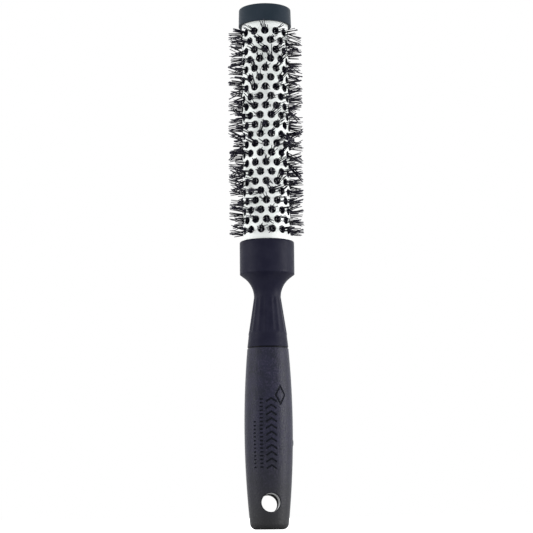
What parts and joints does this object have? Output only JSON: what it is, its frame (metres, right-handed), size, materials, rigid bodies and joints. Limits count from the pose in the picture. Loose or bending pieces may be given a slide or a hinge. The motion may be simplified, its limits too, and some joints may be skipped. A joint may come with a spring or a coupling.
{
  "type": "round barrel hairbrush",
  "caption": "Round hairbrush with a perforated tubular barrel, radial nylon tufts in staggered holes, a collar, a slim fluted neck and a straight grip with a hang hole.",
  "frame": {"origin": "middle of the flat end of the handle, on the brush's axis", "axes": "+Z along the brush's axis, from the end of the handle to the tip of the end cap; Y along the bore of the hang hole"},
  "size_m": [0.035, 0.0352, 0.25],
  "materials": {
    "ceramic_coating": "satin",
    "black_nylon": "satin",
    "cap_plastic": "matte",
    "neck_plastic": "satin",
    "grip_rubber": "matte",
    "core_plastic": "matte"
  },
  "bodies": {
    "root": {"barrel_tube": "ceramic_coating", "bristle_row_01": "black_nylon", "bristle_row_02": "black_nylon", "bristle_row_03": "black_nylon", "bristle_row_04": "black_nylon", "bristle_row_05": "black_nylon", "bristle_row_06": "black_nylon", "bristle_row_07": "black_nylon", "bristle_row_08": "black_nylon", "bristle_row_09": "black_nylon", "bristle_row_10": "black_nylon", "bristle_row_11": "black_nylon", "bristle_row_12": "black_nylon", "bristle_row_13": "black_nylon", "bristle_row_14": "black_nylon", "bristle_row_15": "black_nylon", "bristle_row_16": "black_nylon", "bristle_row_17": "black_nylon", "bristle_row_18": "black_nylon", "bristle_row_19": "black_nylon", "bristle_row_20": "black_nylon", "bristle_row_21": "black_nylon", "bristle_row_22": "black_nylon", "bristle_row_23": "black_nylon", "bristle_row_24": "black_nylon", "bristle_row_25": "black_nylon", "bristle_row_26": "black_nylon", "end_cap": "cap_plastic", "neck_collar": "neck_plastic", "grip_sleeve": "grip_rubber", "handle_core": "core_plastic"}
  },
  "joints": []
}
